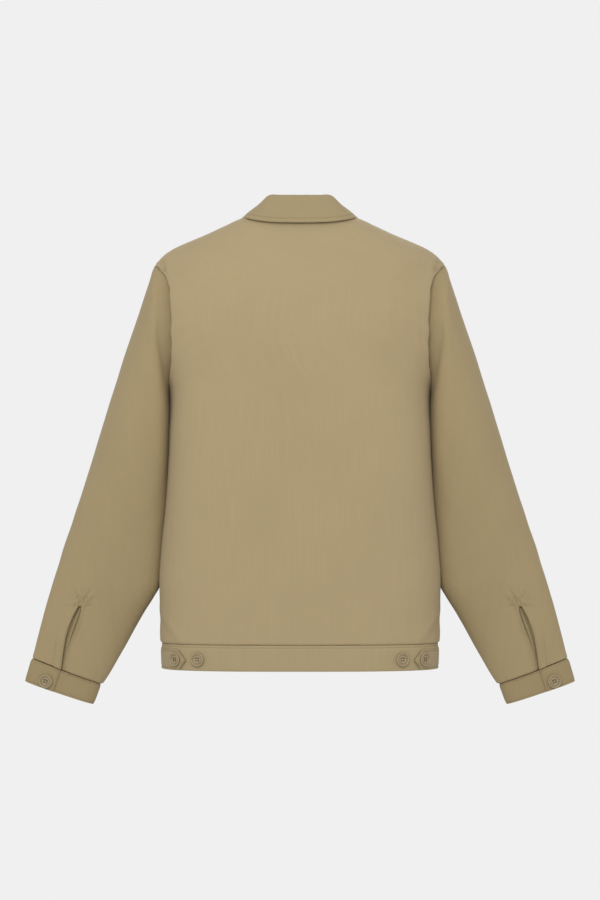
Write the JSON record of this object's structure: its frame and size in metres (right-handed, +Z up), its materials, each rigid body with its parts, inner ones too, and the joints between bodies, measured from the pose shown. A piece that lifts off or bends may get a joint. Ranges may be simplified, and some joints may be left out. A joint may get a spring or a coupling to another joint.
{
  "type": "zip-front work jacket",
  "caption": "Waist-length twill work jacket with fold-over collar, long sleeves with buttoned slit cuffs, front zip, slanted welt pockets and a waistband with pointed side tabs.",
  "frame": {"origin": "middle of the neck opening at the height of the shoulder-neck points' seam edge, where a hanger or the wearer's neck holds the jacket", "axes": "+Z up, front of the jacket faces -Y, wearer's left is +X"},
  "size_m": [0.77, 0.2236, 0.7089],
  "materials": {
    "twill": "matte cotton twill",
    "button": "satin",
    "brass": "satin",
    "pocketing": "matte plain weave",
    "label_tape": "matte woven tape",
    "zip_tape": "matte woven tape"
  },
  "bodies": {
    "torso": {"back_panel": "twill", "back_waistband": "twill", "collar_stand": "twill", "collar_fall": "twill", "back_neck_facing": "twill", "hanger_loop": "twill", "neck_label": "label_tape", "left_front_panel": "twill", "right_front_panel": "twill", "left_front_waistband": "twill", "right_front_waistband": "twill", "left_waist_tab": "twill", "right_waist_tab": "twill", "left_tab_button": "button", "right_tab_button": "button", "left_spare_button": "button", "right_spare_button": "button", "left_front_facing": "twill", "right_front_facing": "twill", "left_pocket_welt": "twill", "right_pocket_welt": "twill", "left_pocket_bag": "pocketing", "right_pocket_bag": "pocketing", "left_zip_tape": "zip_tape", "right_zip_tape": "zip_tape", "left_zip_teeth": "brass", "right_zip_teeth": "brass", "left_zip_top_stop": "brass", "right_zip_top_stop": "brass", "zip_retainer_box": "brass", "zip_insertion_pin": "brass"},
    "left_arm": {"left_sleeve": "twill", "left_cuff": "twill", "left_placket": "twill", "left_cuff_button": "button"},
    "right_arm": {"right_sleeve": "twill", "right_cuff": "twill", "right_placket": "twill", "right_cuff_button": "button"},
    "slider": {"zip_slider": "brass"},
    "pull": {"zip_pull": "brass"}
  },
  "joints": [
    {"name": "left_shoulder", "type": "hinge", "parent": "torso", "child": "left_arm", "pos_m": [0.187, 0, -0.153], "axis": [0, -1, 0], "range_deg": [0, 75]},
    {"name": "right_shoulder", "type": "hinge", "parent": "torso", "child": "right_arm", "pos_m": [-0.187, 0, -0.153], "axis": [0, 1, 0], "range_deg": [0, 75]},
    {"name": "zip_slide", "type": "slide", "parent": "torso", "child": "slider", "axis": [0, 0.0218, 0.9998], "range_m": [-0.5, 0], "deforming": ["left_zip_teeth", "right_zip_teeth"]},
    {"name": "zip_pull_swing", "type": "hinge", "parent": "slider", "child": "pull", "pos_m": [0, -0.09364, -0.09087], "axis": [-1, 0, 0], "range_deg": [0, 150]}
  ]
}
